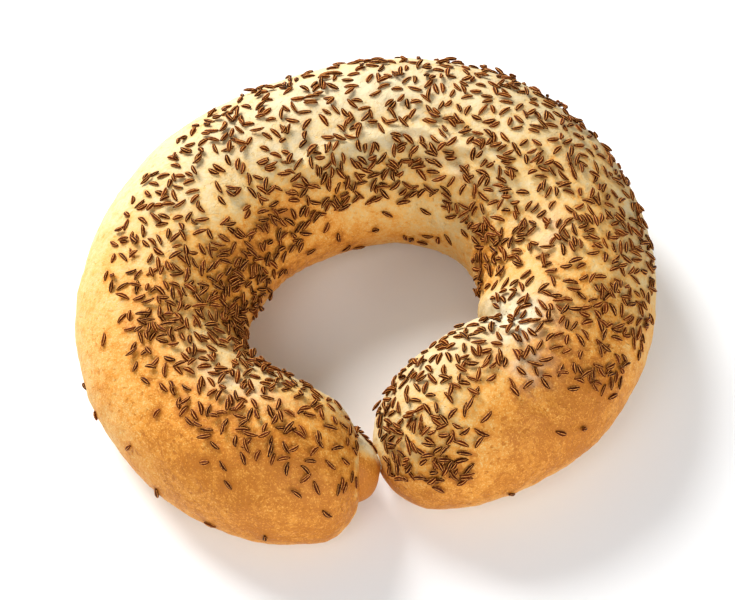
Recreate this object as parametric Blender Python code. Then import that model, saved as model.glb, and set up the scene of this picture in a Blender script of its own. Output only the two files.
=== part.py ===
"""Caraway seed bread ring: a thick roll of dough bent round until its two ends meet and bake together.

The values below are in millimetres and degrees. Meshes are made in metres.
+X runs to the right, +Y away from the joined ends and +Z up. The bread rests on z = 0, and the
origin is below the middle of the finished ring.
"""
import math
import random

import bmesh
import bpy
import numpy as np
from mathutils import Matrix, Vector
from mathutils.bvhtree import BVHTree

MM = 0.001

# The roll: centre x, centre y and half width, from the left end round the rear to the right end
STATIONS = np.array((
    (-1.5, -58.5, 18.0),
    (-24.0, -56.5, 24.0),
    (-47.0, -43.5, 24.0),
    (-60.0, -12.5, 25.0),
    (-46.0, 25.5, 28.0),
    (-13.0, 47.5, 28.5),
    (31.0, 47.5, 29.0),
    (57.0, 16.5, 27.0),
    (52.0, -24.5, 25.0),
    (31.0, -42.5, 25.0),
    (2.5, -51.5, 18.0),
))
HEIGHT_TO_HALF_WIDTH = 1.68
WIDEST_LEVEL = 0.42
RISE_ABOVE_WIDEST = 0.58
DROP_BELOW_WIDEST = 0.50
LEFT_END_LENGTH = 12.0
RIGHT_END_LENGTH = 17.0
END_BLUNTNESS = 2.3

# Mesh of the roll
RINGS = 72
SIDES = 26
FIRST_RING = 0.35
END_GATHERING = 0.085
CREST_GATHERING = 0.42

# Relief of the crust: edges of the rolled layers at the rear, and the crease where the roll was bent
SEAM_TURNS = (-33.0, -50.0)
SEAM_START = 150.0
SEAM_END = 236.0
SEAM_DRIFT = 0.08
SEAM_STEP = 1.3
SEAM_TROUGH = 0.9
SEAM_BREADTH = 8.0
SEAM_FADE_IN = (-25.0, 15.0)
SEAM_FADE_OUT = (-15.0, 15.0)
CREASE_ALONG = 289.0
CREASE_SLANT = 0.16
CREASE_TURN = -60.0
CREASE_DEPTH = 2.4
CREASE_SHOULDER = 1.0
CREASE_BREADTH = 5.0
CREASE_TURNS = (-45.0, -5.0)
LUMP_HEIGHT = 0.5
LUMP_LENGTHS = (13.0, 23.0)

# The inner turn of the rolled dough, which bulges out of the left end,
# and the torn crumb where it meets the right end
BULGE_CENTRE = (-3.5, -56.0, 13.0)
BULGE_HALF_SIZES = (7.2, 9.5, 10.5)
BULGE_SUBDIVISIONS = 3
CRUMB_CENTRE = (3.0, -52.8, 12.5)
CRUMB_HALF_SIZES = (2.2, 3.0, 3.4)
CRUMB_SUBDIVISIONS = 2

# Seeds baked into the crust
SEED_COUNT = 310
SEED_LENGTHS = (4.2, 5.4)
SEED_WIDTH = 1.9
SEED_HEIGHT = 2.1
SEED_SUNK = 0.15
SEED_SIDES = 4
SEED_BEND = 0.4
SEED_SPACING = 5.8
SEED_DRAW = 11
SEED_FREE_END = 4.0
SEED_TURNS = (-100, 80)
# Edges of the seeded band, as place along the roll and turn from the crest
INNER_EDGE = (
    (0, -48), (60, -62), (95, -88), (130, -72), (170, -60), (230, -66), (262, -80), (286, -46), (350, -54),
)
OUTER_EDGE = (
    (0, 48), (25, 32), (50, 26), (90, 36), (125, 30), (150, 56), (230, 60), (272, 68), (292, 60), (304, 24),
    (318, 24), (327, 66), (350, 66),
)

CRUST_COLOUR = (0.82, 0.56, 0.24, 1.0)
CRUST_ROUGHNESS = 0.6
SEED_COLOUR = (0.13, 0.045, 0.02, 1.0)
SEED_ROUGHNESS = 0.45


def clear_scene():
    for item in list(bpy.data.objects):
        bpy.data.objects.remove(item, do_unlink=True)


def new_collection(name):
    collection = bpy.data.collections.new(name)
    bpy.context.scene.collection.children.link(collection)
    return collection


def new_material(name, colour, roughness):
    material = bpy.data.materials.new(name)
    material.use_nodes = True
    shader = material.node_tree.nodes["Principled BSDF"]
    shader.inputs["Base Color"].default_value = colour
    shader.inputs["Roughness"].default_value = roughness
    shader.inputs["Metallic"].default_value = 0.0
    material.diffuse_color = colour
    return material


def new_object(name, shape, collection, material):
    """Object from a bmesh in millimetres."""
    bmesh.ops.scale(shape, vec=(MM, MM, MM), verts=shape.verts)
    mesh = bpy.data.meshes.new(name)
    shape.to_mesh(mesh)
    shape.free()
    mesh.materials.append(material)
    item = bpy.data.objects.new(name, mesh)
    collection.objects.link(item)
    return item


def smooth_through(knots, values, at):
    """Values at the given lengths on the natural cubic curve through the knots."""
    gaps = np.diff(knots)
    slopes = np.diff(values, axis=0) / gaps[:, None]
    system = np.eye(len(knots))
    right_side = np.zeros_like(values)
    for i in range(1, len(knots) - 1):
        system[i, i - 1:i + 2] = gaps[i - 1], 2 * (gaps[i - 1] + gaps[i]), gaps[i]
        right_side[i] = 6 * (slopes[i] - slopes[i - 1])
    bends = np.linalg.solve(system, right_side)
    cell = np.clip(np.searchsorted(knots, at, side="right") - 1, 0, len(gaps) - 1)
    gap = gaps[cell][:, None]
    step = (at - knots[cell])[:, None]
    start, end = bends[cell], bends[cell + 1]
    slope = slopes[cell] - gap * (2 * start + end) / 6
    return values[cell] + step * slope + step**2 * start / 2 + step**3 * (end - start) / (6 * gap)


KNOTS = np.concatenate(((0.0,), np.cumsum(np.linalg.norm(np.diff(STATIONS[:, :2], axis=0), axis=1))))
ROLL_LENGTH = KNOTS[-1]


def bump(value, centre, breadth):
    return np.exp(-((value - centre) / breadth) ** 2)


def ramp(value, start, end):
    share = np.clip((value - start) / (end - start), 0, 1)
    return share * share * (3 - 2 * share)


def relief(along, turn):
    """Height of the crust over the plain roll: seams of the rolled layers, the crease and slow unevenness."""
    angle = np.radians(turn)
    rise = LUMP_HEIGHT * np.sin(along / LUMP_LENGTHS[0] + angle) * np.cos(along / LUMP_LENGTHS[1] - 2 * angle)
    starts = ramp(along, SEAM_START + SEAM_FADE_IN[0], SEAM_START + SEAM_FADE_IN[1])
    ends = ramp(along, SEAM_END + SEAM_FADE_OUT[0], SEAM_END + SEAM_FADE_OUT[1])
    rear = starts * (1 - ends)
    for seam in SEAM_TURNS:
        line = seam + SEAM_DRIFT * (along - SEAM_START)
        rise += SEAM_STEP * rear * bump(turn, line, SEAM_BREADTH)
        rise -= SEAM_TROUGH * rear * bump(turn, line - 1.7 * SEAM_BREADTH, SEAM_BREADTH)
    inner_side = 1 - ramp(turn, CREASE_TURNS[0], CREASE_TURNS[1])
    line = CREASE_ALONG + CREASE_SLANT * (turn - CREASE_TURN)
    rise -= CREASE_DEPTH * inner_side * bump(along, line, CREASE_BREADTH)
    rise += CREASE_SHOULDER * inner_side * bump(along, line - 2 * CREASE_BREADTH, CREASE_BREADTH)
    return rise


def end_cap(distance, length):
    """Share of the full section at a distance from an end of the roll."""
    share = np.clip(distance / length, 0, 1)
    return (1 - (1 - share) ** END_BLUNTNESS) ** (1 / END_BLUNTNESS)


def crust(along, turn):
    """Points of the crust at places along the roll and at turns from the crest, positive outwards."""
    middle = smooth_through(KNOTS, STATIONS, along)
    ahead = smooth_through(KNOTS, STATIONS, along + 0.5) - smooth_through(KNOTS, STATIONS, along - 0.5)
    outwards = np.stack((-ahead[:, 1], ahead[:, 0]), axis=1)
    outwards /= np.linalg.norm(outwards, axis=1)[:, None]
    half_width = middle[:, 2]
    height = HEIGHT_TO_HALF_WIDTH * half_width
    cap = end_cap(along, LEFT_END_LENGTH) * end_cap(ROLL_LENGTH - along, RIGHT_END_LENGTH)
    rise = relief(along, turn) * cap
    angle = np.radians(turn)
    side = (half_width * cap + rise) * np.sin(angle)
    reach = np.where(np.cos(angle) > 0, RISE_ABOVE_WIDEST, DROP_BELOW_WIDEST)
    level = WIDEST_LEVEL * height + (height * cap * reach + rise) * np.cos(angle)
    return np.column_stack((middle[:, :2] + outwards * side[:, None], np.maximum(level, 0.0)))


def crust_point(along, turn):
    return Vector(crust(np.array([along]), np.array([turn]))[0])


def roll_shape():
    """The roll as a loft of rings, closer at its ends and finer over its crest, with a fan at each tip."""
    share = np.linspace(0, 1, RINGS)
    share = share - END_GATHERING * np.sin(2 * math.pi * share)
    places = FIRST_RING + (ROLL_LENGTH - 2 * FIRST_RING) * share
    angles = np.arange(SIDES) * 2 * math.pi / SIDES
    turns = np.degrees(angles - CREST_GATHERING * np.sin(angles))
    turns = np.where(turns > 180, turns - 360, turns)
    shape = bmesh.new()
    rings = []
    for place in places:
        points = crust(np.full(SIDES, place), turns)
        rings.append([shape.verts.new(point) for point in points])
    for ring, following in zip(rings, rings[1:]):
        for i in range(SIDES):
            j = (i + 1) % SIDES
            shape.faces.new((ring[i], ring[j], following[j], following[i]))
    for ring, place in ((rings[0], 0.0), (rings[-1], ROLL_LENGTH)):
        tip = shape.verts.new(crust_point(place, 0.0))
        for i in range(SIDES):
            shape.faces.new((ring[i], tip, ring[(i + 1) % SIDES]))
    bmesh.ops.recalc_face_normals(shape, faces=shape.faces)
    return shape


def lump_shape(centre, half_sizes, subdivisions):
    shape = bmesh.new()
    bmesh.ops.create_icosphere(shape, subdivisions=subdivisions, radius=1.0)
    bmesh.ops.scale(shape, vec=half_sizes, verts=shape.verts)
    bmesh.ops.translate(shape, vec=centre, verts=shape.verts)
    return shape


def seed_shape(length, place):
    """One seed: a spindle with a ridge on top, bent sideways like a crescent."""
    shape = bmesh.new()
    bmesh.ops.create_uvsphere(shape, u_segments=SEED_SIDES, v_segments=3, radius=0.5)
    for vert in shape.verts:
        run, side, rise = vert.co.z, vert.co.x, vert.co.y
        bow = SEED_BEND * (1 - 4 * run * run)
        vert.co = (run * length, side * SEED_WIDTH + bow, rise * SEED_HEIGHT)
    bmesh.ops.transform(shape, matrix=place, verts=shape.verts)
    bmesh.ops.recalc_face_normals(shape, faces=shape.faces)
    return shape


def seed_place(along, turn, heading, faces):
    """Frame of a seed that lies on the faces of the roll, sunk into them by a little more than half."""
    point = faces.find_nearest(crust_point(along, turn))[0]
    run = crust_point(along + 1, turn) - crust_point(along - 1, turn)
    across = crust_point(along, turn + 3) - crust_point(along, turn - 3)
    up = run.cross(across).normalized()
    ahead = (Matrix.Rotation(heading, 3, up) @ run).normalized()
    left = up.cross(ahead)
    frame = Matrix((ahead, left, up)).transposed().to_4x4()
    return Matrix.Translation(point - up * SEED_SUNK) @ frame


def seed_places(faces):
    """Seeds spread evenly over the seeded band, longest first, none nearer than the spacing."""
    draw = random.Random(SEED_DRAW)
    inner_along, inner_turn = zip(*INNER_EDGE)
    outer_along, outer_turn = zip(*OUTER_EDGE)
    taken = []
    found = []
    while len(found) < SEED_COUNT:
        along = draw.uniform(SEED_FREE_END, ROLL_LENGTH - SEED_FREE_END)
        lowest = np.interp(along, inner_along, inner_turn)
        highest = np.interp(along, outer_along, outer_turn)
        turn = draw.uniform(*SEED_TURNS)
        heading = draw.uniform(0, math.pi)
        if not lowest < turn < highest:
            continue
        point = crust_point(along, turn)
        if any((point - other).length < SEED_SPACING for other in taken):
            continue
        taken.append(point)
        shrink = len(found) / SEED_COUNT
        length = SEED_LENGTHS[1] - (SEED_LENGTHS[1] - SEED_LENGTHS[0]) * shrink
        found.append((length, seed_place(along, turn, heading, faces)))
    return found


def fuse(body, collection):
    """Joins all that is in the collection to the body, and removes the collection."""
    join = body.modifiers.new("fuse", "BOOLEAN")
    join.operation = "UNION"
    join.operand_type = "COLLECTION"
    join.collection = collection
    join.solver = "EXACT"
    bpy.context.view_layer.objects.active = body
    body.select_set(True)
    bpy.ops.object.modifier_apply(modifier=join.name)
    for item in list(collection.objects):
        bpy.data.objects.remove(item, do_unlink=True)
    bpy.data.collections.remove(collection)


def centre_plan(body):
    """Moves the mesh so that the middle of its box is above the origin."""
    points = np.array([vert.co for vert in body.data.vertices])
    middle = (points.min(axis=0) + points.max(axis=0)) / 2
    body.data.transform(Matrix.Translation((-middle[0], -middle[1], -points[:, 2].min())))


def build():
    clear_scene()
    ring = new_collection("seed_bread_ring")
    toppings = new_collection("fused_pieces")
    crust_material = new_material("golden_crust", CRUST_COLOUR, CRUST_ROUGHNESS)
    seed_material = new_material("toasted_seed", SEED_COLOUR, SEED_ROUGHNESS)
    roll = roll_shape()
    seeds = seed_places(BVHTree.FromBMesh(roll))
    bread = new_object("bread", roll, ring, crust_material)
    bread.data.materials.append(seed_material)
    bulge = lump_shape(BULGE_CENTRE, BULGE_HALF_SIZES, BULGE_SUBDIVISIONS)
    new_object("bulge", bulge, toppings, crust_material)
    crumb = lump_shape(CRUMB_CENTRE, CRUMB_HALF_SIZES, CRUMB_SUBDIVISIONS)
    new_object("crumb", crumb, toppings, crust_material)
    for number, (length, place) in enumerate(seeds):
        new_object(f"seed_{number}", seed_shape(length, place), toppings, seed_material)
    fuse(bread, toppings)
    centre_plan(bread)
    bread.data.shade_smooth()
    bread.data.set_sharp_from_angle(angle=math.radians(40))


build()
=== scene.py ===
import math
import random

import bmesh
import bpy
import numpy as np
from mathutils import Matrix, Vector, noise
from mathutils.bvhtree import BVHTree
from mathutils.kdtree import KDTree


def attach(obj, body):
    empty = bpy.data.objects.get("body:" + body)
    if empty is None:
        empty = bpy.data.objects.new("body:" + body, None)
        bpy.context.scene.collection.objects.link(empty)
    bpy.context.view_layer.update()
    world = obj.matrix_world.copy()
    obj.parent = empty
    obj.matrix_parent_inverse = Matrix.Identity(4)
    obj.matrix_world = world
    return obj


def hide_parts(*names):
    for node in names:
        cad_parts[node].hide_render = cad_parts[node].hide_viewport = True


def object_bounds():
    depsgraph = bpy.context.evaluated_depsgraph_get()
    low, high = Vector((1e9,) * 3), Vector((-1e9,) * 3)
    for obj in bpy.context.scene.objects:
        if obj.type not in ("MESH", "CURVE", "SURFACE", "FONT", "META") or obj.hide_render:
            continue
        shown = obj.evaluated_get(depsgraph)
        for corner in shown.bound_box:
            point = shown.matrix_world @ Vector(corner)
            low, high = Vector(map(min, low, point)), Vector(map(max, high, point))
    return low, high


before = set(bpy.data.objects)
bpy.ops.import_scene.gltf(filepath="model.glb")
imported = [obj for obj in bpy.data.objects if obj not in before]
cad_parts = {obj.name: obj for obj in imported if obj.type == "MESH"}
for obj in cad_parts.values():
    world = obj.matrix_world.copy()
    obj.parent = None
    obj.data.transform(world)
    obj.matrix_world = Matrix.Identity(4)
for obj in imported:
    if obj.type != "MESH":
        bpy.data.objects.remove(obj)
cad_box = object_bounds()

# Crust: a roll of soft wheat dough some 35 cm long, bent round until its two ends meet, and baked on a
# flat sheet. It is modelled as a baker shapes it: a straight roll first, which is then bent along the
# plan of the ring, settled on its flat base, and given its seams, creases, lips and small unevenness.
MM = 0.001
ROLL_STATIONS = np.array((
    (-1.5, -58.5, 18.0), (-24.0, -56.5, 24.0), (-47.0, -43.5, 24.0), (-60.0, -12.5, 25.0),
    (-46.0, 25.5, 28.0), (-13.0, 47.5, 28.5), (31.0, 47.5, 29.0), (57.0, 16.5, 27.0),
    (52.0, -24.5, 25.0), (31.0, -42.5, 25.0), (2.5, -51.5, 18.0),
))
STATION_GAPS = np.linalg.norm(np.diff(ROLL_STATIONS[:, :2], axis=0), axis=1)
KNOTS = np.concatenate(((0.0,), np.cumsum(STATION_GAPS)))
ROLL_LENGTH = KNOTS[-1]
PLAN_SHIFT = np.array((0.23, -0.1, 0.0))
HEIGHT_TO_HALF_WIDTH = 1.68
WIDEST_LEVEL = 0.42
RISE_ABOVE_WIDEST = 0.58
DROP_BELOW_WIDEST = 0.50
LEFT_END_LENGTH = 12.0
RIGHT_END_LENGTH = 17.0
END_BLUNTNESS = 2.3
FIRST_RING = 0.15
END_GATHERING = 0.075
DOUGH_SIDES = 48
FIRST_CUTS = 11
SECOND_CUTS = 9
SMOOTHING = 2


def station_bends():
    gaps = np.diff(KNOTS)
    slopes = np.diff(ROLL_STATIONS, axis=0) / gaps[:, None]
    system = np.eye(len(KNOTS))
    right_side = np.zeros_like(ROLL_STATIONS)
    for i in range(1, len(KNOTS) - 1):
        system[i, i - 1:i + 2] = gaps[i - 1], 2 * (gaps[i - 1] + gaps[i]), gaps[i]
        right_side[i] = 6 * (slopes[i] - slopes[i - 1])
    return np.linalg.solve(system, right_side)


STATION_BENDS = station_bends()


def roll_middle(at):
    """Centre x, centre y and half width of the roll at lengths along it, on a smooth curve."""
    gaps = np.diff(KNOTS)
    cell = np.clip(np.searchsorted(KNOTS, at, side="right") - 1, 0, len(gaps) - 1)
    gap = gaps[cell][:, None]
    step = (at - KNOTS[cell])[:, None]
    start, end = STATION_BENDS[cell], STATION_BENDS[cell + 1]
    values, following = ROLL_STATIONS[cell], ROLL_STATIONS[cell + 1]
    slope = (following - values) / gap - gap * (2 * start + end) / 6
    return values + step * slope + step**2 * start / 2 + step**3 * (end - start) / (6 * gap)


def bump(value, centre, breadth):
    return np.exp(-((value - centre) / breadth) ** 2)


def ramp(value, start, end):
    share = np.clip((value - start) / (end - start), 0, 1)
    return share * share * (3 - 2 * share)


def patch(along, turn, centre_along, centre_turn, reach_along, reach_turn):
    return bump(along, centre_along, reach_along) * bump(turn, centre_turn, reach_turn)


# The large relief, which the solid bread has too: slow lumps, the seams of the rolled layers at the rear,
# and the crease where the roll was bent
LUMP_HEIGHT = 0.5
LUMP_LENGTHS = (13, 23)
SEAM_TURNS = (-33, -50)
SEAM_ORIGIN = 150
SEAM_DRIFT = 0.08
SEAM_FADE_IN = (125, 165)
SEAM_FADE_OUT = (221, 251)
SEAM_STEP = 1.3
SEAM_TROUGH = 0.9
SEAM_BREADTH = 8
TROUGH_FROM_SEAM = 13.6
INNER_SIDE_TURNS = (-45, -5)
CREASE_ALONG = 289
CREASE_SLANT = 0.16
CREASE_TURN = -60
CREASE_DEPTH = 2.4
CREASE_SHOULDER = 1.0
CREASE_BREADTH = 5


def dough_relief(along, turn):
    angle = np.radians(turn)
    rise = LUMP_HEIGHT * np.sin(along / LUMP_LENGTHS[0] + angle) * np.cos(along / LUMP_LENGTHS[1] - 2 * angle)
    rear = ramp(along, *SEAM_FADE_IN) * (1 - ramp(along, *SEAM_FADE_OUT))
    for seam in SEAM_TURNS:
        line = seam + SEAM_DRIFT * (along - SEAM_ORIGIN)
        rise += SEAM_STEP * rear * bump(turn, line, SEAM_BREADTH)
        rise -= SEAM_TROUGH * rear * bump(turn, line - TROUGH_FROM_SEAM, SEAM_BREADTH)
    inner_side = 1 - ramp(turn, *INNER_SIDE_TURNS)
    line = CREASE_ALONG + CREASE_SLANT * (turn - CREASE_TURN)
    rise -= CREASE_DEPTH * inner_side * bump(along, line, CREASE_BREADTH)
    rise += CREASE_SHOULDER * inner_side * bump(along, line - 2 * CREASE_BREADTH, CREASE_BREADTH)
    return rise


# The fine relief. Edges of the rolled layers, each as turn and height, sharper than the swell under them
LAYER_EDGES = ((-30, 1.4), (-46, 1.2))
LAYER_FADE_IN = (130, 160)
LAYER_FADE_OUT = (225, 248)
LAYER_STEP = 2.5
LAYER_SLOPE = 14
WAVER_HEIGHTS = (3.0, 2.0)
WAVER_LENGTHS = (9, 4.3)
# The thin lip round the left end, where the outer turn of the roll stops
LIP_ALONG = 1.5
LIP_HEIGHT = 1.1
LIP_BREADTH = 0.55
LIP_WAVE = 0.35
LIP_WAVE_COUNT = 3
LIP_FADE_TURNS = (115, 150)
# The torn edge in the crease: a fold of crust above, and the torn crumb a step below it
TEAR_ALONG = 286.5
TEAR_WAVES = ((1.2, 9), (0.6, 23))
TEAR_HALF_STEP = 0.8
TEAR_DEPTH = 1.1
TEAR_FLOOR = (1, 11)
FOLD_HEIGHT = 0.5
FOLD_FROM_TEAR = 1.8
FOLD_BREADTH = 2.0
# Puckers across the inner side of the bends: height, waves along and round, place and reach
PUCKERS = ((0.25, 1.15, 0.05, 112, 28), (0.22, 1.05, 0.04, 250, 25))
PUCKERED_TURNS = (-75, -40)


def lip_place(turn):
    return LIP_ALONG + LIP_WAVE * np.sin(np.radians(turn) * LIP_WAVE_COUNT)


def tear_line(turn):
    line = TEAR_ALONG + CREASE_SLANT * (turn - CREASE_TURN)
    for height, count in TEAR_WAVES:
        line = line + height * np.sin(np.radians(turn) * count)
    return line


def skin_relief(along, turn):
    waver = WAVER_HEIGHTS[0] * np.sin(along / WAVER_LENGTHS[0])
    waver += WAVER_HEIGHTS[1] * np.sin(along / WAVER_LENGTHS[1] + 1)
    rise = np.zeros_like(along)
    rear = ramp(along, *LAYER_FADE_IN) * (1 - ramp(along, *LAYER_FADE_OUT))
    for edge, height in LAYER_EDGES:
        line = edge + SEAM_DRIFT * (along - SEAM_ORIGIN) + waver
        rise += height * rear * (ramp(turn, line - LAYER_STEP, line) - ramp(turn, line, line + LAYER_SLOPE))
    lip = bump(along, lip_place(turn), LIP_BREADTH)
    rise += LIP_HEIGHT * lip * (1 - ramp(np.abs(turn), *LIP_FADE_TURNS))
    inner_side = 1 - ramp(turn, *INNER_SIDE_TURNS)
    tear = tear_line(turn)
    step = ramp(along, tear - TEAR_HALF_STEP, tear + TEAR_HALF_STEP)
    step *= 1 - ramp(along, tear + TEAR_FLOOR[0], tear + TEAR_FLOOR[1])
    fold = bump(along, tear - FOLD_FROM_TEAR, FOLD_BREADTH)
    rise += inner_side * (FOLD_HEIGHT * fold - TEAR_DEPTH * step)
    inner = 1 - ramp(turn, *PUCKERED_TURNS)
    for height, waves_along, waves_round, place, reach in PUCKERS:
        rise += height * inner * np.sin(along * waves_along + waves_round * turn) * bump(along, place, reach)
    return rise


def end_cap(distance, length):
    share = np.clip(distance / length, 0, 1)
    return (1 - (1 - share) ** END_BLUNTNESS) ** (1 / END_BLUNTNESS)


def end_distance(cap, length):
    return length * (1 - (1 - cap ** END_BLUNTNESS) ** (1 / END_BLUNTNESS))


def crust(along, turn, fine=0.0):
    """Points of the crust at places along the roll and at turns from the crest, positive outwards."""
    middle = roll_middle(along)
    ahead = roll_middle(along + 0.5) - roll_middle(along - 0.5)
    outwards = np.stack((-ahead[:, 1], ahead[:, 0]), axis=1)
    outwards /= np.linalg.norm(outwards, axis=1)[:, None]
    half_width = middle[:, 2]
    height = HEIGHT_TO_HALF_WIDTH * half_width
    cap = end_cap(along, LEFT_END_LENGTH) * end_cap(ROLL_LENGTH - along, RIGHT_END_LENGTH)
    rise = (dough_relief(along, turn) + fine * skin_relief(along, turn)) * cap
    angle = np.radians(turn)
    side = (half_width * cap + rise) * np.sin(angle)
    reach = np.where(np.cos(angle) > 0, RISE_ABOVE_WIDEST, DROP_BELOW_WIDEST)
    level = WIDEST_LEVEL * height + (height * cap * reach + rise) * np.cos(angle)
    points = np.column_stack((middle[:, :2] + outwards * side[:, None], np.maximum(level, 0.0)))
    return (points + PLAN_SHIFT) * MM


def read_layer(mesh, name):
    values = np.empty(len(mesh.vertices), np.float32)
    mesh.attributes[name].data.foreach_get("value", values)
    return values.astype(float)


def write_layer(mesh, name, values):
    layer = mesh.attributes.get(name) or mesh.attributes.new(name, "FLOAT", "POINT")
    layer.data.foreach_set("value", np.asarray(values, np.float32))


def read_points(mesh):
    points = np.empty(len(mesh.vertices) * 3, np.float32)
    mesh.vertices.foreach_get("co", points)
    return points.reshape(-1, 3).astype(float)


def write_points(mesh, points):
    mesh.vertices.foreach_set("co", np.asarray(points, np.float32).ravel())
    mesh.update()


# The straight roll: a cylinder cut across into rings, in two goes, and then smoothed
LONGEST_UNCUT = (1.0, 0.01)
CAP_SHARE = 1e-6
CAP_RADIUS = 0.995
bpy.ops.object.select_all(action="DESELECT")
bpy.ops.mesh.primitive_cylinder_add(vertices=DOUGH_SIDES, radius=1.0, depth=2.0, end_fill_type="TRIFAN")
bread = bpy.context.object
bread.name = "crust"
bpy.ops.object.mode_set(mode="EDIT")
bpy.ops.mesh.select_mode(type="EDGE")
for cuts, longest in zip((FIRST_CUTS, SECOND_CUTS), LONGEST_UNCUT):
    bpy.ops.mesh.select_all(action="DESELECT")
    edit = bmesh.from_edit_mesh(bread.data)
    for edge in edit.edges:
        edge.select = abs(edge.verts[0].co.z - edge.verts[1].co.z) > longest
    bmesh.update_edit_mesh(bread.data)
    bpy.ops.mesh.subdivide(number_cuts=cuts)
bpy.ops.object.mode_set(mode="OBJECT")
straight = read_points(bread.data)
write_layer(bread.data, "share", (straight[:, 2] + 1) / 2)
write_layer(bread.data, "cosine", straight[:, 0])
write_layer(bread.data, "sine", straight[:, 1])
smoother = bread.modifiers.new("smoother", "SUBSURF")
smoother.levels = SMOOTHING
smoother.render_levels = SMOOTHING
bpy.ops.object.modifier_apply(modifier=smoother.name)

share = read_layer(bread.data, "share")
cosine = read_layer(bread.data, "cosine")
sine = read_layer(bread.data, "sine")
turn = np.degrees(np.arctan2(sine, cosine))
along = FIRST_RING + (ROLL_LENGTH - 2 * FIRST_RING) * (share - END_GATHERING * np.sin(2 * math.pi * share))
radius = np.minimum(np.hypot(cosine, sine), 1.0)
on_left_cap = (share < CAP_SHARE) & (radius < CAP_RADIUS)
on_right_cap = (share > 1 - CAP_SHARE) & (radius < CAP_RADIUS)
left_cap = radius * end_cap(FIRST_RING, LEFT_END_LENGTH)
right_cap = radius * end_cap(FIRST_RING, RIGHT_END_LENGTH)
along = np.where(on_left_cap, end_distance(left_cap, LEFT_END_LENGTH), along)
along = np.where(on_right_cap, ROLL_LENGTH - end_distance(right_cap, RIGHT_END_LENGTH), along)
write_points(bread.data, crust(along, turn, fine=1.0))
for name in ("share", "cosine", "sine"):
    bread.data.attributes.remove(bread.data.attributes[name])
bpy.ops.object.mode_set(mode="EDIT")
bpy.ops.mesh.select_all(action="SELECT")
bpy.ops.mesh.normals_make_consistent(inside=False)
bpy.ops.object.mode_set(mode="OBJECT")

# Slow lumps, small dimples and the rough torn band in the crease, pushed out along the crust's normals:
# name, size, depth and where
PUSHES = (
    ("lumps", 16.0, 0.9, "above_base"),
    ("dimples", 5.0, 0.50, "above_base"),
    ("pores", 2.2, 0.28, "above_base"),
    ("tears", 2.6, 1.2, "torn_band"),
)
TORN_HALF_STEP = 1
TORN_FADE_OUT = (5, 14)
TORN_TURNS_IN = (-150, -110)
TORN_TURNS_OUT = (-30, 8)
LEAST_TORN = 0.02
PUSHED_LEVELS = (2 * MM, 9 * MM)
tear = tear_line(turn)
torn = ramp(along, tear - TORN_HALF_STEP, tear + TORN_HALF_STEP)
torn *= 1 - ramp(along, tear + TORN_FADE_OUT[0], tear + TORN_FADE_OUT[1])
torn *= ramp(turn, *TORN_TURNS_IN) * (1 - ramp(turn, *TORN_TURNS_OUT))
rises = bread.vertex_groups.new(name="above_base")
tears = bread.vertex_groups.new(name="torn_band")
above_base = ramp(read_points(bread.data)[:, 2], *PUSHED_LEVELS)
for number in range(len(along)):
    rises.add((number,), above_base[number], "REPLACE")
    if torn[number] > LEAST_TORN:
        tears.add((number,), min(torn[number], 1.0), "REPLACE")
for name, size, depth, group in PUSHES:
    cloud = bpy.data.textures.new(name, "CLOUDS")
    cloud.noise_scale = size * MM
    cloud.noise_depth = 1
    push = bread.modifiers.new(name, "DISPLACE")
    push.texture = cloud
    push.texture_coords = "LOCAL"
    push.vertex_group = group
    push.mid_level = 0.5
    push.strength = depth * MM
    bpy.ops.object.modifier_apply(modifier=push.name)
skin = read_points(bread.data)
skin[:, 2] = np.maximum(skin[:, 2], 0.0)
write_points(bread.data, skin)
bread.vertex_groups.clear()
bpy.ops.object.shade_smooth()

# How far each place is baked, from 0, cream, to 1, orange brown: place along, turn, reaches and amount
BAKED_PLACES = (
    (-4, 62, 58, 68, 0.92), (42, 45, 32, 42, 0.32), (8, -12, 18, 26, 0.34), (55, 8, 34, 28, 0.16),
    (10, 90, 40, 20, 0.20), (80, 50, 26, 50, 0.33), (82, -15, 22, 22, 0.25), (68, -70, 20, 22, 0.35),
    (95, -48, 34, 22, 0.50), (135, -88, 58, 36, 0.68), (132, -50, 34, 16, 0.32), (215, -85, 40, 30, 0.24),
    (225, -45, 34, 16, 0.24), (268, -40, 14, 20, 0.20), (256, -72, 20, 20, 0.55), (278, 0, 42, 34, 0.38),
    (240, 28, 16, 20, 0.14), (308, 5, 16, 22, 0.08), (302, 42, 28, 34, 0.74), (300, 84, 36, 30, 0.72),
    (342, 62, 22, 56, 0.16), (345, 100, 18, 45, 0.65),
)
LEAST_BAKED = 0.04
FLANK_BAKED = 0.22
FLANK_TURNS = (72, 104)
BASE_BAKED = 0.62
BASE_TURNS = (100, 140)
# Painted highlight along the thin lip round the left end: the crust is made paler there, standing for the
# light rim the lip catches
LIP_PAINTED_HIGHLIGHT = 0.40
LIP_HIGHLIGHT_BREADTH = 0.45
# Where flour still lies on the crust and keeps it pale, and where the crust is painted paler as a highlight:
# along the ridges of the rolled layers at the rear, which catch the light, and on parts of the left end and
# the right end: place along, turn, reaches and amount
FLOURED_AND_LIT_PLACES = (
    (42, -12, 16, 12, 0.6), (170, 15, 42, 22, 0.8), (257, -14, 9, 12, 0.5), (291, -45, 10, 40, 0.9),
    (304, 10, 5, 16, 0.6), (294, -16, 12, 10, 0.6), (320, -38, 26, 26, 0.5), (196, -25, 22, 4, 0.7),
    (209, -40, 12, 4, 0.6),
)
bake = np.full_like(along, LEAST_BAKED)
for place in BAKED_PLACES:
    bake += place[4] * patch(along, turn, *place[:4])
bake += FLANK_BAKED * ramp(np.abs(turn), *FLANK_TURNS)
base_turn = ramp(np.abs(turn), *BASE_TURNS)
bake = bake * (1 - base_turn) + BASE_BAKED * base_turn
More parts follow.
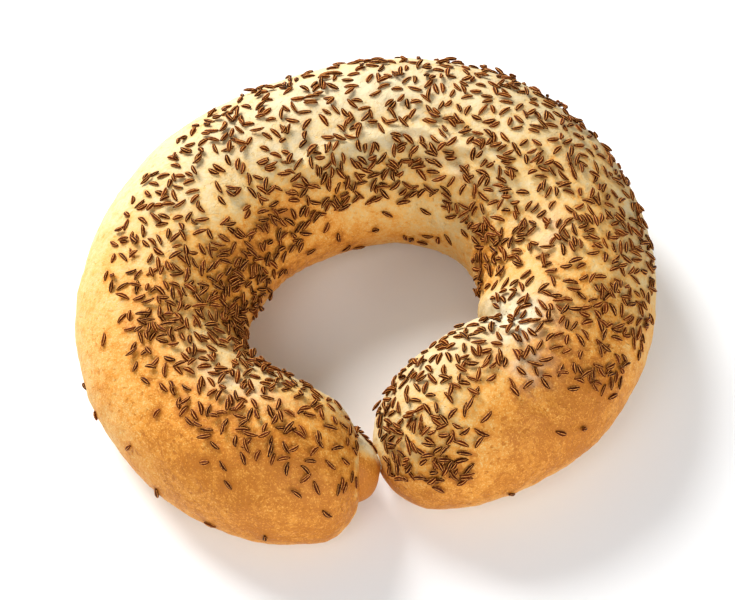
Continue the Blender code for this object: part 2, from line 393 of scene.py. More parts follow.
# Painted highlight: the crust is paler along the lip round the left end
bake -= LIP_PAINTED_HIGHLIGHT * bump(along, lip_place(turn), LIP_HIGHLIGHT_BREADTH) * (1 - base_turn)
# Flour and painted highlight: the crust is made paler where flour lies, and along lit ridges and faces as
# painted highlight
flour_and_highlight = np.zeros_like(along)
for place in FLOURED_AND_LIT_PLACES:
    flour_and_highlight += place[4] * patch(along, turn, *place[:4])
write_layer(bread.data, "bake", np.clip(bake, 0, 1))
write_layer(bread.data, "flour_and_highlight", np.clip(flour_and_highlight, 0, 1))
write_layer(bread.data, "torn", np.clip(torn, 0, 1))

CREAM = (0.63, 0.515, 0.31, 1)
STRAW = (0.65, 0.46, 0.20, 1)
GOLD = (0.69, 0.385, 0.105, 1)
ORANGE = (0.63, 0.255, 0.035, 1)
BROWN = (0.43, 0.145, 0.016, 1)
# The pale of flour, which is also used for painted highlight
FLOUR_AND_HIGHLIGHT_WHITE = (0.71, 0.615, 0.42, 1)
TORN_WHITE = (0.76, 0.69, 0.50, 1)
# Mottling of the crust: sizes in millimetres, and how much lighter or darker each makes it
BROAD_SIZE = 14.0
CLOUDY_SIZE = 4.0
FINE_SIZE = 1.1
FLECK_SIZE = 0.5
PIT_SIZE = 1.6
NOISE_RANGE = (0.3, 0.7)
BROAD_BAKING = 0.07
CLOUDY_BAKING = 0.10
FINE_BAKING = 0.09
FLECK_RANGE = (0.55, 0.66)
PIT_RANGE = (0.68, 0.76)
PIT_BAKING = 0.16
# Ranges as least and most of what is read, and what each gives
FLECKS_BY_BAKING = (0.1, 0.8, 0.06, 0.26)
FLOUR_AND_HIGHLIGHT_PATCHES = (0.35, 0.62, 0.25, 1.0)
TORN_PATCHES = (0.38, 0.58, 0.3, 1.0)
ROUGHNESS_BY_BAKING = (0.1, 0.9, 0.68, 0.50)
# Heights of the bump, and how deep it is in millimetres on each piece
FINE_HEIGHT = 0.5
CLOUDY_HEIGHT = 1.2
FLECK_HEIGHT = 0.10
PIT_HEIGHT = -0.35
BUMP_STRENGTH = 0.6
CRUST_BUMP = 0.7
TURN_BUMP = 0.5
CRUMB_BUMP = 0.8
CRUST_SPECULAR = 0.15


def add_node(tree, kind, **settings):
    node = tree.nodes.new(kind)
    for name, value in settings.items():
        setattr(node, name, value)
    return node


def join(tree, source, target):
    tree.links.new(source, target)


def set_inputs(node, **values):
    for name, value in values.items():
        node.inputs[name].default_value = value


def number_node(tree, operation, first, second, clamp=False):
    node = add_node(tree, "ShaderNodeMath", operation=operation, use_clamp=clamp)
    for socket, value in zip(node.inputs, (first, second)):
        if isinstance(value, (int, float)):
            socket.default_value = value
        else:
            join(tree, value, socket)
    return node.outputs[0]


def range_node(tree, value, low, high, out_low=0.0, out_high=1.0):
    node = add_node(tree, "ShaderNodeMapRange", interpolation_type="SMOOTHSTEP")
    join(tree, value, node.inputs["Value"])
    node.inputs["From Min"].default_value = low
    node.inputs["From Max"].default_value = high
    node.inputs["To Min"].default_value = out_low
    node.inputs["To Max"].default_value = out_high
    return node.outputs["Result"]


def noise_node(tree, coordinates, size, detail=2.0, roughness=0.5):
    node = add_node(tree, "ShaderNodeTexNoise")
    set_inputs(node, Scale=1 / (size * MM), Detail=detail, Roughness=roughness)
    join(tree, coordinates, node.inputs["Vector"])
    return node.outputs["Fac"]


def blend_node(tree, share, first, second):
    node = add_node(tree, "ShaderNodeMix", data_type="RGBA")
    join(tree, share, node.inputs[0])
    for socket, value in zip(node.inputs[6:8], (first, second)):
        if isinstance(value, tuple):
            socket.default_value = value
        else:
            join(tree, value, socket)
    return node.outputs[2]


# The baked surface: colour, roughness and height, from how far a place is baked, how far it is floured and
# painted pale as a highlight, and how far it is torn
baked_surface = bpy.data.node_groups.new("baked_surface", "ShaderNodeTree")
for name in ("Bake", "Flour_and_highlight", "Torn"):
    baked_surface.interface.new_socket(name, in_out="INPUT", socket_type="NodeSocketFloat")
baked_surface.interface.new_socket("Color", in_out="OUTPUT", socket_type="NodeSocketColor")
baked_surface.interface.new_socket("Roughness", in_out="OUTPUT", socket_type="NodeSocketFloat")
baked_surface.interface.new_socket("Height", in_out="OUTPUT", socket_type="NodeSocketFloat")
tree = baked_surface
entry = add_node(tree, "NodeGroupInput")
exit_node = add_node(tree, "NodeGroupOutput")
where = add_node(tree, "ShaderNodeTexCoord").outputs["Object"]
broad = noise_node(tree, where, BROAD_SIZE, detail=3.0)
cloudy = noise_node(tree, where, CLOUDY_SIZE, detail=3.0, roughness=0.6)
fine = noise_node(tree, where, FINE_SIZE, detail=2.0, roughness=0.6)
flecks = noise_node(tree, where, FLECK_SIZE, detail=1.0)
pits = noise_node(tree, where, PIT_SIZE, detail=0.0)

level = entry.outputs["Bake"]
for mottling, amount in ((broad, BROAD_BAKING), (cloudy, CLOUDY_BAKING), (fine, FINE_BAKING)):
    level = number_node(tree, "ADD", level, range_node(tree, mottling, *NOISE_RANGE, -amount, amount))
fleck_mask = range_node(tree, flecks, *FLECK_RANGE)
fleck_depth = range_node(tree, entry.outputs["Bake"], *FLECKS_BY_BAKING)
level = number_node(tree, "SUBTRACT", level, number_node(tree, "MULTIPLY", fleck_mask, fleck_depth))
pit_mask = range_node(tree, pits, *PIT_RANGE)
level = number_node(tree, "ADD", level, number_node(tree, "MULTIPLY", pit_mask, PIT_BAKING), clamp=True)
colours = add_node(tree, "ShaderNodeValToRGB")
colours.color_ramp.interpolation = "LINEAR"
for position, colour in ((0.25, STRAW), (0.5, GOLD), (0.75, ORANGE)):
    colours.color_ramp.elements.new(position).color = colour
colours.color_ramp.elements[0].color = CREAM
colours.color_ramp.elements[-1].color = BROWN
join(tree, level, colours.inputs["Fac"])

# The flour and painted highlight, made patchy, blend the colour towards a pale white
flour_and_highlight_patches = range_node(tree, cloudy, *FLOUR_AND_HIGHLIGHT_PATCHES)
flour_and_highlight_mask = number_node(tree, "MULTIPLY", entry.outputs["Flour_and_highlight"], flour_and_highlight_patches)
dusted_and_highlighted = blend_node(tree, flour_and_highlight_mask, colours.outputs["Color"], FLOUR_AND_HIGHLIGHT_WHITE)
torn_patches = range_node(tree, cloudy, *TORN_PATCHES)
torn_mask = number_node(tree, "MULTIPLY", entry.outputs["Torn"], torn_patches)
join(tree, blend_node(tree, torn_mask, dusted_and_highlighted, TORN_WHITE), exit_node.inputs["Color"])
roughness = range_node(tree, entry.outputs["Bake"], *ROUGHNESS_BY_BAKING)
join(tree, roughness, exit_node.inputs["Roughness"])
height = number_node(tree, "MULTIPLY", fine, FINE_HEIGHT)
for source, amount in ((cloudy, CLOUDY_HEIGHT), (fleck_mask, FLECK_HEIGHT), (pit_mask, PIT_HEIGHT)):
    height = number_node(tree, "ADD", height, number_node(tree, "MULTIPLY", source, amount))
join(tree, height, exit_node.inputs["Height"])


def bread_material(name, bump_distance):
    material = bpy.data.materials.new(name)
    material.use_nodes = True
    tree = material.node_tree
    shader = tree.nodes["Principled BSDF"]
    surface = add_node(tree, "ShaderNodeGroup", node_tree=baked_surface)
    for layer in ("Bake", "Flour_and_highlight", "Torn"):
        reader = add_node(tree, "ShaderNodeAttribute", attribute_name=layer.lower())
        join(tree, reader.outputs["Fac"], surface.inputs[layer])
    join(tree, surface.outputs["Color"], shader.inputs["Base Color"])
    join(tree, surface.outputs["Roughness"], shader.inputs["Roughness"])
    shader.inputs["Specular IOR Level"].default_value = CRUST_SPECULAR
    relief = add_node(tree, "ShaderNodeBump")
    set_inputs(relief, Strength=BUMP_STRENGTH, Distance=bump_distance * MM)
    join(tree, surface.outputs["Height"], relief.inputs["Height"])
    join(tree, relief.outputs["Normal"], shader.inputs["Normal"])
    return material


bread.data.materials.append(bread_material("golden_crust", CRUST_BUMP))
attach(bread, "root")
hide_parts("bread")

# Inner turn: the end of the rolled dough's inner layer, which swells out of the left end and carries the
# ring across to its other end. Its top is pale, where the other end lay on it, and its front is baked brown.
TURN_CENTRE = np.array((-3.5, -56.0, 13.0)) + PLAN_SHIFT
TURN_HALF_SIZES = np.array((7.2, 9.5, 10.5))
TURN_REARWARD = 0.819
TURN_UPWARD = 0.574
BALL_SUBDIVISIONS = 5
PEAK_SHIFT = np.array((-5.0, 2.6, 1.8))
RIPPLE_SIZE = 4.0
RIPPLE_HEIGHT = 0.35
PALE_SIDE = np.array((0.30, 0.77, 0.56))
PALE_RANGE = (0.25, 0.72)
FRONT_BAKED = 1.12
PALE_LESS_BAKED = 0.94
PALE_FLOURED = 0.1
TORN_SIDE = np.array((0.72, 0.52, 0.46))
TORN_RANGE = (0.72, 0.90)
TORN_AMOUNT = 0.9
bpy.ops.object.select_all(action="DESELECT")
bpy.ops.mesh.primitive_ico_sphere_add(subdivisions=BALL_SUBDIVISIONS, radius=1.0)
inner_turn = bpy.context.object
inner_turn.name = "inner_turn"
ball = read_points(inner_turn.data)
spot = ball * TURN_HALF_SIZES + TURN_CENTRE
peak = np.clip(ball @ np.array((0.0, TURN_REARWARD, TURN_UPWARD)), 0, 1) ** 2
spot += peak[:, None] * PEAK_SHIFT
ripple = np.array([noise.noise(Vector(point / RIPPLE_SIZE)) for point in spot])
spot += ball * (RIPPLE_HEIGHT * ripple)[:, None]
spot[:, 2] = np.maximum(spot[:, 2], 0.0)
write_points(inner_turn.data, spot * MM)
pale = ramp(ball @ PALE_SIDE, *PALE_RANGE)
write_layer(inner_turn.data, "bake", FRONT_BAKED - PALE_LESS_BAKED * pale)
write_layer(inner_turn.data, "flour_and_highlight", PALE_FLOURED * pale)
write_layer(inner_turn.data, "torn", TORN_AMOUNT * ramp(ball @ TORN_SIDE, *TORN_RANGE))
bpy.ops.object.shade_smooth()
inner_turn.data.materials.append(bread_material("inner_turn_crust", TURN_BUMP))
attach(inner_turn, "root")
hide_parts("bread")

# Torn crumb: the shred of soft white crumb between the two ends, torn open where they pulled apart in the
# oven after they had baked together.
CRUMB_CENTRE = np.array((3.6, -53.2, 12.6)) + PLAN_SHIFT
CRUMB_HALF_SIZES = np.array((3.2, 3.0, 3.4))
SHRED_FREQUENCY = 2.6
SHRED_DEPTH = 0.16
CRUMB_BAKED = 0.05
CRUMB_FLOURED = 0.5
bpy.ops.object.select_all(action="DESELECT")
bpy.ops.mesh.primitive_ico_sphere_add(subdivisions=BALL_SUBDIVISIONS, radius=1.0)
torn_crumb = bpy.context.object
torn_crumb.name = "torn_crumb"
ball = read_points(torn_crumb.data)
shred = np.array([noise.fractal(Vector(point * SHRED_FREQUENCY), 1.0, 2.0, 3) for point in ball])
spot = ball * CRUMB_HALF_SIZES * (1 + SHRED_DEPTH * shred)[:, None] + CRUMB_CENTRE
write_points(torn_crumb.data, spot * MM)
write_layer(torn_crumb.data, "bake", np.full(len(ball), CRUMB_BAKED))
write_layer(torn_crumb.data, "flour_and_highlight", np.full(len(ball), CRUMB_FLOURED))
write_layer(torn_crumb.data, "torn", np.ones(len(ball)))
bpy.ops.object.shade_smooth()
torn_crumb.data.materials.append(bread_material("white_crumb", CRUMB_BUMP))
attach(torn_crumb, "root")
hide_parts("bread")

# Caraway seeds: halves of the dried fruit, 3 to 5 mm long, bent like a sickle, with five pale ribs between
# dark furrows. They were strewn on the wet dough before baking: most lie flat in the crust, and where they
# fell thick some rest on others and stick up.
SEED_LENGTHS = (3.3, 5.0)
SEED_HALF_WIDTH = 0.79
SEED_HALF_HEIGHT = 0.62
SEED_BOW = 0.30
SEED_REST = 0.28
STRAIGHT_HALF = 0.40
SEED_CLEARANCE = 1.25
STACKED_CLEARANCE = 0.7
FURTHEST_NEIGHBOUR = 5.2
# A seed whose tip would be more than half a millimetre above the solid isn't laid
HIGHEST_SEED_TIP = cad_box[1][2] + 0.5 * MM
# How they lie, in degrees and millimetres
FLAT_TIP = 4
LEANING_SHARE = 0.08
LEANING_TIPS = (10, 32)
LEANING_RISE = 0.3
STACKED_TIPS = (4, 22)
STACKED_RISES = (0.65, 0.95)
STACKING_DENSITY = 1.2
STACKING_SHARE = 0.3
# Edges of the seeded band, as place along the roll and turn from the crest
INNER_EDGE = (
    (0, -48), (60, -62), (95, -88), (130, -72), (170, -60), (230, -66), (262, -80), (286, -46), (350, -54),
)
OUTER_EDGE = (
    (0, 48), (25, 32), (50, 26), (90, 36), (125, 30), (150, 56), (230, 60), (272, 68), (292, 60), (304, 24),
    (318, 24), (327, 66), (350, 66),
)
# Where the later seeds run further, as place along, reach and amount
FURTHER_INWARDS = ((102, 14, 10), (130, 16, 5), (262, 12, 7))
FURTHER_OUTWARDS = ((175, 34, -15), (250, 16, 4))
EDGE_SCATTER = 4
# Where they lie thicker or thinner than elsewhere: place along, turn, reaches and amount
THICK_PLACES = (
    (40, -50, 22, 14, 0.8), (76, -60, 20, 20, 2.1), (92, -68, 22, 10, 1.0), (104, -92, 14, 14, 1.4),
    (132, -79, 20, 13, 1.3), (80, -20, 22, 25, 0.4), (72, 2, 14, 8, 0.4), (35, 8, 10, 8, 0.4),
    (150, -45, 14, 16, 0.4), (205, -62, 25, 6, 0.7), (188, -16, 22, 5, 0.9), (195, -33, 22, 4, 0.9),
    (222, -6, 10, 8, 0.5), (260, -86, 11, 12, 1.6), (250, -45, 16, 22, 0.5), (335, 42, 8, 16, 0.5),
    (328, 70, 8, 10, 0.6), (180, -42, 20, 10, 0.6), (185, -72, 10, 10, 0.9), (150, -74, 14, 8, 0.6),
    (217, -80, 14, 10, 1.2), (24, 24, 10, 14, 0.4), (60, -52, 12, 12, 0.5),
)
BARE_PLACES = (
    (45, 15, 7, 9, 0.6), (120, 10, 8, 25, 0.45), (50, 30, 20, 8, 0.5), (292, -52, 8, 20, 0.95),
    (315, 24, 7, 18, 0.9), (40, -12, 10, 8, 0.35), (170, 12, 18, 12, 0.3), (8, 24, 9, 20, 0.85),
    (300, -45, 9, 9, 0.8), (90, 32, 16, 12, 0.55), (304, 40, 6, 14, 0.4), (225, 0, 8, 14, 0.25),
    (5, -5, 12, 34, 0.75), (10, -43, 13, 12, 0.95), (170, 38, 34, 14, 0.75), (232, 60, 16, 8, 0.5),
    (332, -30, 14, 16, 0.5), (196, -25, 20, 3, 0.9), (209, -40, 10, 3, 0.8),
)
DENSITY_OF_ALL_TRIES = 2.9
# Single seeds beside the band, as place along and turn
STRAY_PLACES = (
    (9, 67), (16, 50), (30, 55), (36, 47), (32, 44), (73, 44), (51, 38), (53, 77), (22, 97), (33, 102),
    (45, 100), (65, 95), (72, 95), (305, 63), (300, 71), (317, 102), (124, -90), (140, -85), (155, -84),
    (159, -100), (165, -108), (172, -86), (178, -75), (187, -99), (191, -102), (195, -98), (199, -101),
    (203, -97), (204, -92), (215, -92), (200, -72), (223, -86), (228, -84), (254, -73),
)
# Draws of how the seeds lean, of the evenly spread ones that the solid has too, and of the later ones
LEAN_DRAW = 5
EVEN_DRAW = 11
EVEN_TRIES = 4000
EVEN_SEED_COUNT = 310
EVEN_SPACING = 5.8
EVEN_FREE_END = 4
EVEN_TURNS = (-100, 80)
LATER_DRAW = 23
LATER_TRIES = 20000
LATER_FREE_END = 2
LATER_TURNS = (-104, 84)
ROOM_FOR_SEEDS = 3000
FRAME_STEP = 1
FRAME_TURN = 3

crust_faces = BVHTree.FromPolygons(
    [Vector(point) for point in read_points(bread.data)], [face.vertices[:] for face in bread.data.polygons]
)


def seed_density(along, turn):
    density = np.ones_like(along)
    for place in THICK_PLACES:
        density += place[4] * patch(along, turn, *place[:4])
    for place in BARE_PLACES:
        density *= 1 - place[4] * patch(along, turn, *place[:4])
    return density


def seed_frames(along, turn):
    """Points on the roll, directions along it and out of it, and how far it is stretched there."""
    points = crust(along, turn)
    run = crust(along + FRAME_STEP, turn) - crust(along - FRAME_STEP, turn)
    across = crust(along, turn + FRAME_TURN) - crust(along, turn - FRAME_TURN)
    up = np.cross(run, across)
    up /= np.linalg.norm(up, axis=1)[:, None]
    stretch = np.linalg.norm(run, axis=1) / (2 * FRAME_STEP * MM)
    return points, run, up, stretch


def closest_between(first, second):
    """Least distance between two seeds, each the straight piece between two points."""
    best = 1.0
    direction = second[1] - second[0]
    for share in (0.0, 0.25, 0.5, 0.75, 1.0):
        point = first[0].lerp(first[1], share)
        place = max(0.0, min(1.0, (point - second[0]).dot(direction) / direction.length_squared))
        best = min(best, (point - (second[0] + direction * place)).length)
    return best


def room_for(middle, half, laid):
    """Least distance from a seed to those already laid."""
    gaps = np.linalg.norm(laid["middles"][:laid["count"]] - np.array(middle), axis=1)
    near = [laid["lines"][number] for number in np.nonzero(gaps < FURTHEST_NEIGHBOUR * MM)[0]]
    return min([closest_between((middle - half, middle + half), line) for line in near], default=1.0)


def lay_seed(point, run, up, heading, length, draw, laid, may_stack):
    """Lays a seed where there is room on the crust, or on top of the seeds there if it may stack."""
    spot, facing, _, _ = crust_faces.find_nearest(Vector(point))
    up = (facing + Vector(up)).normalized()
    run = Vector(run)
    run = (run - up * run.dot(up)).normalized()
    ahead = Matrix.Rotation(heading, 3, up) @ run
    half = ahead * (STRAIGHT_HALF * length * MM)
    middle = spot + up * SEED_REST * MM
    tip = draw.gauss(0, FLAT_TIP)
    if room_for(middle, half, laid) < SEED_CLEARANCE * MM:
        if not may_stack:
            return
        tip = draw.uniform(*STACKED_TIPS) * draw.choice((-1, 1))
        middle = middle + up * draw.uniform(*STACKED_RISES) * MM
        if room_for(middle, half, laid) < STACKED_CLEARANCE * MM:
            return
    elif draw.random() < LEANING_SHARE:
        tip = draw.uniform(*LEANING_TIPS) * draw.choice((-1, 1))
        middle = middle + up * (LEANING_RISE * length * math.sin(math.radians(abs(tip)))) * MM
    left = up.cross(ahead)
    ahead = Matrix.Rotation(math.radians(tip), 3, left) @ ahead
    if middle.z + abs(ahead.z) * length / 2 * MM > HIGHEST_SEED_TIP:
        return
    laid["seeds"].append((middle, ahead, left, ahead.cross(left), length))
    laid["lines"].append((middle - half, middle + half))
    laid["middles"][laid["count"]] = middle
    laid["count"] += 1


def band_edges(along):
    return np.interp(along, *zip(*INNER_EDGE)), np.interp(along, *zip(*OUTER_EDGE))


def draw_even_place(draw):
    along = draw.uniform(EVEN_FREE_END, ROLL_LENGTH - EVEN_FREE_END)
    return along, draw.uniform(*EVEN_TURNS), draw.uniform(0, math.pi)


laid = {"seeds": [], "lines": [], "middles": np.zeros((ROOM_FOR_SEEDS, 3)), "count": 0}
lean_draw = random.Random(LEAN_DRAW)

# The first seeds lie where the solid bread has its own
draw = random.Random(EVEN_DRAW)
drawn = np.array([draw_even_place(draw) for _ in range(EVEN_TRIES)])
lowest, highest = band_edges(drawn[:, 0])
drawn = drawn[(lowest < drawn[:, 1]) & (drawn[:, 1] < highest)]
points, runs, ups, _ = seed_frames(drawn[:, 0], drawn[:, 1])
kept = np.zeros((EVEN_SEED_COUNT, 3))
count = 0
for number in range(len(drawn)):
    if count == EVEN_SEED_COUNT:
        break
    if count and np.linalg.norm(kept[:count] - points[number], axis=1).min() < EVEN_SPACING * MM:
        continue
    kept[count] = points[number]
    length = SEED_LENGTHS[1] - (SEED_LENGTHS[1] - SEED_LENGTHS[0]) * count / EVEN_SEED_COUNT
    lay_seed(points[number], runs[number], ups[number], drawn[number, 2], length, lean_draw, laid, True)
    count += 1

# Single seeds that fell beside the strewn band
strays = np.array(STRAY_PLACES, float)
points, runs, ups, _ = seed_frames(strays[:, 0], strays[:, 1])
for number in range(len(strays)):
    length = lean_draw.uniform(*SEED_LENGTHS)
    heading = lean_draw.uniform(0, math.pi)
    lay_seed(points[number], runs[number], ups[number], heading, length, lean_draw, laid, False)

# The rest, thick in some places and thin in others
draw = np.random.RandomState(LATER_DRAW)
along_drawn = draw.uniform(LATER_FREE_END, ROLL_LENGTH - LATER_FREE_END, LATER_TRIES)
turn_drawn = draw.uniform(*LATER_TURNS, LATER_TRIES)
lowest, highest = band_edges(along_drawn)
lowest += draw.normal(0, EDGE_SCATTER, LATER_TRIES)
for place, reach, further in FURTHER_INWARDS:
    lowest -= further * bump(along_drawn, place, reach)
highest += draw.normal(0, EDGE_SCATTER, LATER_TRIES)
for place, reach, further in FURTHER_OUTWARDS:
    highest += further * bump(along_drawn, place, reach)
points, runs, ups, stretches = seed_frames(along_drawn, turn_drawn)
densities = seed_density(along_drawn, turn_drawn)
wanted = draw.uniform(0, 1, LATER_TRIES) < densities * stretches / DENSITY_OF_ALL_TRIES
wanted &= (lowest < turn_drawn) & (turn_drawn < highest)
for number in np.nonzero(wanted)[0]:
    may_stack = densities[number] > STACKING_DENSITY or lean_draw.random() < STACKING_SHARE
    length = lean_draw.uniform(*SEED_LENGTHS)
    heading = lean_draw.uniform(0, math.pi)
    lay_seed(points[number], runs[number], ups[number], heading, length, lean_draw, laid, may_stack)

# A row of them along the top of the inner turn
TURN_SEED_ANGLES = (-4, 9, 21, 34, 46, 57)
MOST_HEADING = 0.5
turn_points = read_points(inner_turn.data)
turn_directions = (turn_points / MM - TURN_CENTRE) / TURN_HALF_SIZES
turn_directions /= np.linalg.norm(turn_directions, axis=1)[:, None]
for angle in TURN_SEED_ANGLES:
    sine, cosine = math.sin(math.radians(angle)), math.cos(math.radians(angle))
    facing = Vector((sine, TURN_REARWARD * cosine, TURN_UPWARD * cosine))
    spot = Vector(turn_points[np.argmax(turn_directions @ np.array(facing))])
    ahead = Vector((cosine, -TURN_REARWARD * sine, -TURN_UPWARD * sine))
    ahead = Matrix.Rotation(lean_draw.uniform(-MOST_HEADING, MOST_HEADING), 3, facing) @ ahead
    left = facing.cross(ahead)
    length = lean_draw.uniform(*SEED_LENGTHS)
    laid["seeds"].append((spot + facing * SEED_REST * MM, ahead, left, facing, length))

# Close round the seeds the crust is made darker: partly their oil browning it in the oven, and partly painted
# shade, the soft shadow each seed casts on the crust beside it
SEED_BROWNING_AND_SHADE = 0.32
BROWNING_AND_SHADE_REACH = 1.4
SEED_PLACES = (-0.38, -0.19, 0.0, 0.19, 0.38)
seed_places = KDTree(len(laid["seeds"]) * len(SEED_PLACES))
for middle, ahead, left, up, length in laid["seeds"]:
    for place in SEED_PLACES:
        seed_places.insert(middle + ahead * (place * length * MM), 0)
seed_places.balance()
for piece in (bread, inner_turn):
    distance = np.array([seed_places.find(point)[2] for point in read_points(piece.data)])
    # Painted shade together with the browning: the bake is raised next to every seed
    browned_and_shaded = read_layer(piece.data, "bake") + SEED_BROWNING_AND_SHADE * bump(distance, 0.0, BROWNING_AND_SHADE_REACH * MM)
    write_layer(piece.data, "bake", browned_and_shaded)

# Every seed is the same ribbed pattern, bowed, rolled and sized a little differently
RIB_COUNT = 5
SECTION_POINTS = 2 * RIB_COUNT
SEED_RINGS = ((-0.37, 0.60), (-0.13, 0.97), (0.13, 1.0), (0.37, 0.62))
FURROW_REACH = 0.66
TIP_RIB = 0.4
SHAPE_DRAW = 31
GIRTHS = (0.88, 1.12)
BOWS = (0.5, 1.5)
MOST_ROLL = 0.5


def seed_pattern():
    """Points of one seed of length 1 and half width 1, its faces, and how far each point is up a rib."""
    points, ribs = [(-0.5, 0.0, 0.0)], [TIP_RIB]
    for place, girth in SEED_RINGS:
        for number in range(SECTION_POINTS):
            angle = 2 * math.pi * number / SECTION_POINTS
            on_rib = number % 2 == 0
            reach = girth * (1.0 if on_rib else FURROW_REACH)
            points.append((place, reach * math.sin(angle), reach * math.cos(angle)))
            ribs.append(1.0 if on_rib else 0.0)
    points.append((0.5, 0.0, 0.0))
    ribs.append(TIP_RIB)
    faces = []
    last = len(points) - 1
    for number in range(SECTION_POINTS):
        following = (number + 1) % SECTION_POINTS
        faces.append((0, 1 + number, 1 + following))
        for ring in range(len(SEED_RINGS) - 1):
            start = 1 + ring * SECTION_POINTS
            end = start + SECTION_POINTS
            faces.append((start + number, end + number, end + following, start + following))
        start = 1 + (len(SEED_RINGS) - 1) * SECTION_POINTS
        faces.append((start + following, start + number, last))
    return np.array(points), faces, np.array(ribs)


pattern, pattern_faces, pattern_ribs = seed_pattern()
shape_draw = random.Random(SHAPE_DRAW)
all_points, all_faces, all_ribs, all_tones = [], [], [], []
for middle, ahead, left, up, length in laid["seeds"]:
    girth = shape_draw.uniform(*GIRTHS)
    bow = SEED_BOW * shape_draw.uniform(*BOWS) * shape_draw.choice((-1, 1))
    roll = shape_draw.uniform(-MOST_ROLL, MOST_ROLL)
    run = pattern[:, 0] * length
    side = pattern[:, 1] * SEED_HALF_WIDTH * girth
    rise = pattern[:, 2] * SEED_HALF_HEIGHT * girth
    side, rise = side * math.cos(roll) - rise * math.sin(roll), side * math.sin(roll) + rise * math.cos(roll)
    side = side + bow * (0.5 - 4 * pattern[:, 0] ** 2)
    local = np.column_stack((run, side, rise)) * MM
    frame_rows = np.array((ahead, left, up))
    start = len(all_ribs)
    all_points.extend(local @ frame_rows + np.array(middle))
    all_faces.extend(tuple(start + corner for corner in face) for face in pattern_faces)
    all_ribs.extend(pattern_ribs)
    all_tones.extend([shape_draw.random()] * len(pattern))
seed_mesh = bpy.data.meshes.new("caraway_seeds")
seed_mesh.from_pydata([tuple(point) for point in all_points], [], all_faces)
seed_mesh.validate()
write_layer(seed_mesh, "rib", all_ribs)
write_layer(seed_mesh, "tone", all_tones)
caraway_seeds = bpy.data.objects.new("caraway_seeds", seed_mesh)
bpy.context.scene.collection.objects.link(caraway_seeds)
seed_mesh.shade_smooth()

FURROW_BROWN = (0.030, 0.0045, 0.0004, 1)
FURROW_RUST = (0.10, 0.016, 0.001, 1)
# The ribs' pale tan is partly their own colour and partly painted highlight: the glints along them are
# painted into the colour, while the seeds' specular is kept low
RIB_TAN_AND_GLINT = (1.0, 0.42, 0.10, 1)
RIB_RANGE = (0.60, 0.96)
GRAIN_SIZE = 0.5
GRAIN_RANGE = (0.36, 0.56)
GRAIN_LEAST = 0.35
SEED_ROUGHNESS = (0.40, 0.65)
SEED_SPECULAR = 0.05
SEED_BUMP_STRENGTH = 0.5
SEED_BUMP = 0.15
toasted_seed = bpy.data.materials.new("toasted_seed")
toasted_seed.use_nodes = True
tree = toasted_seed.node_tree
shader = tree.nodes["Principled BSDF"]
where = add_node(tree, "ShaderNodeTexCoord").outputs["Object"]
tone = add_node(tree, "ShaderNodeAttribute", attribute_name="tone").outputs["Fac"]
rib = add_node(tree, "ShaderNodeAttribute", attribute_name="rib").outputs["Fac"]
grain = noise_node(tree, where, GRAIN_SIZE, detail=2.0)
furrow = blend_node(tree, tone, FURROW_BROWN, FURROW_RUST)
# The grain breaks the ribs' pale tan and painted glints into dashes
rib_dashes = range_node(tree, grain, *GRAIN_RANGE, GRAIN_LEAST, 1.0)
rib_share = number_node(tree, "MULTIPLY", range_node(tree, rib, *RIB_RANGE), rib_dashes)
seed_colour = blend_node(tree, rib_share, furrow, RIB_TAN_AND_GLINT)
shader.inputs["Specular IOR Level"].default_value = SEED_SPECULAR
join(tree, seed_colour, shader.inputs["Base Color"])
join(tree, range_node(tree, grain, *NOISE_RANGE, *SEED_ROUGHNESS), shader.inputs["Roughness"])
seed_bump = add_node(tree, "ShaderNodeBump")
set_inputs(seed_bump, Strength=SEED_BUMP_STRENGTH, Distance=SEED_BUMP * MM)
join(tree, grain, seed_bump.inputs["Height"])
join(tree, seed_bump.outputs["Normal"], shader.inputs["Normal"])
seed_mesh.materials.append(toasted_seed)
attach(caraway_seeds, "root")
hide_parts("bread")

# Floor: a wide sheet of plain white paper that the bread lies on, a fifth of a millimetre below its base.
# It is there for the picture only.
FLOOR_WHITE = (0.90, 0.915, 0.93, 1)
FLOOR_ROUGHNESS = 0.9
FLOOR_SIZE = 6.0
FLOOR_LEVEL = -0.0002
bpy.ops.mesh.primitive_plane_add(size=FLOOR_SIZE, location=(0, 0, FLOOR_LEVEL))
floor = bpy.context.object
floor.name = "floor"
white = bpy.data.materials.new("white_paper")
white.use_nodes = True
white.node_tree.nodes["Principled BSDF"].inputs["Base Color"].default_value = FLOOR_WHITE
white.node_tree.nodes["Principled BSDF"].inputs["Roughness"].default_value = FLOOR_ROUGHNESS
floor.data.materials.append(white)

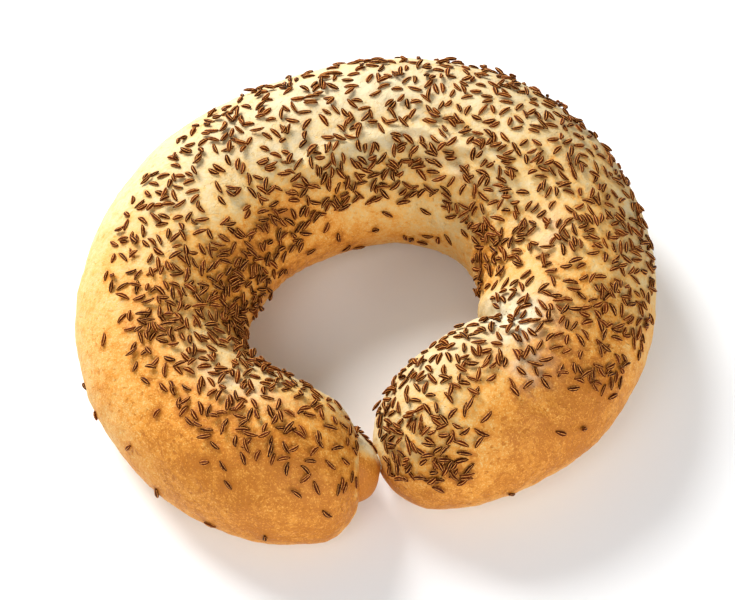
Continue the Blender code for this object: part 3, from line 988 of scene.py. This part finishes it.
# Light: a large soft window at the left rear, a pale card low down in front on the right, a small soft lamp
# in front on the left, and dim light all round. None of the three shows in the picture itself.
ROOM_WHITE = (0.98, 0.985, 1.0, 1)
ROOM_STRENGTH = 0.29
LIGHT_WHITE = (1.0, 0.985, 0.965)
LIGHT_AIM = Vector((0, 0, 0.02))
# Name, shape, width, depth, power and place
LIGHTS = (
    ("window", "DISK", 0.7, 0.7, 25.0, (-0.61, 0.73, 0.74)),
    ("card", "RECTANGLE", 1.0, 0.45, 7.5, (0.45, -0.80, 0.42)),
    ("lamp", "DISK", 0.5, 0.5, 2.2, (-0.35, -0.60, 0.75)),
)
world = bpy.data.worlds.new("studio")
bpy.context.scene.world = world
world.use_nodes = True
world.node_tree.nodes["Background"].inputs["Color"].default_value = ROOM_WHITE
world.node_tree.nodes["Background"].inputs["Strength"].default_value = ROOM_STRENGTH
for name, shape, size, depth, energy, place in LIGHTS:
    light_data = bpy.data.lights.new(name, "AREA")
    light_data.shape = shape
    light_data.size = size
    if shape == "RECTANGLE":
        light_data.size_y = depth
    light_data.energy = energy
    light_data.color = LIGHT_WHITE
    light = bpy.data.objects.new(name, light_data)
    light.location = place
    bpy.context.scene.collection.objects.link(light)
    light.rotation_euler = (LIGHT_AIM - light.location).to_track_quat("-Z", "Y").to_euler()
    light.visible_camera = False

# Camera: a long lens 0.9 m away and 55 degrees above the floor, straight in front of the joined ends, where
# the bread was photographed from.
CAMERA_ELEVATION = math.radians(55)
CAMERA_DISTANCE = 0.9
CAMERA_AIM = Vector((0.0002, -0.0025, 0.020))
LENS_LENGTH = 150
SENSOR_WIDTH = 36
camera_data = bpy.data.cameras.new("camera")
camera_data.lens = LENS_LENGTH
camera_data.sensor_width = SENSOR_WIDTH
camera = bpy.data.objects.new("camera", camera_data)
bpy.context.scene.collection.objects.link(camera)
backwards = Vector((0, -math.cos(CAMERA_ELEVATION), math.sin(CAMERA_ELEVATION)))
camera.location = CAMERA_AIM + backwards * CAMERA_DISTANCE
camera.rotation_euler = (math.pi / 2 - CAMERA_ELEVATION, 0, 0)
bpy.context.scene.camera = camera
bpy.context.scene.view_settings.view_transform = "Standard"
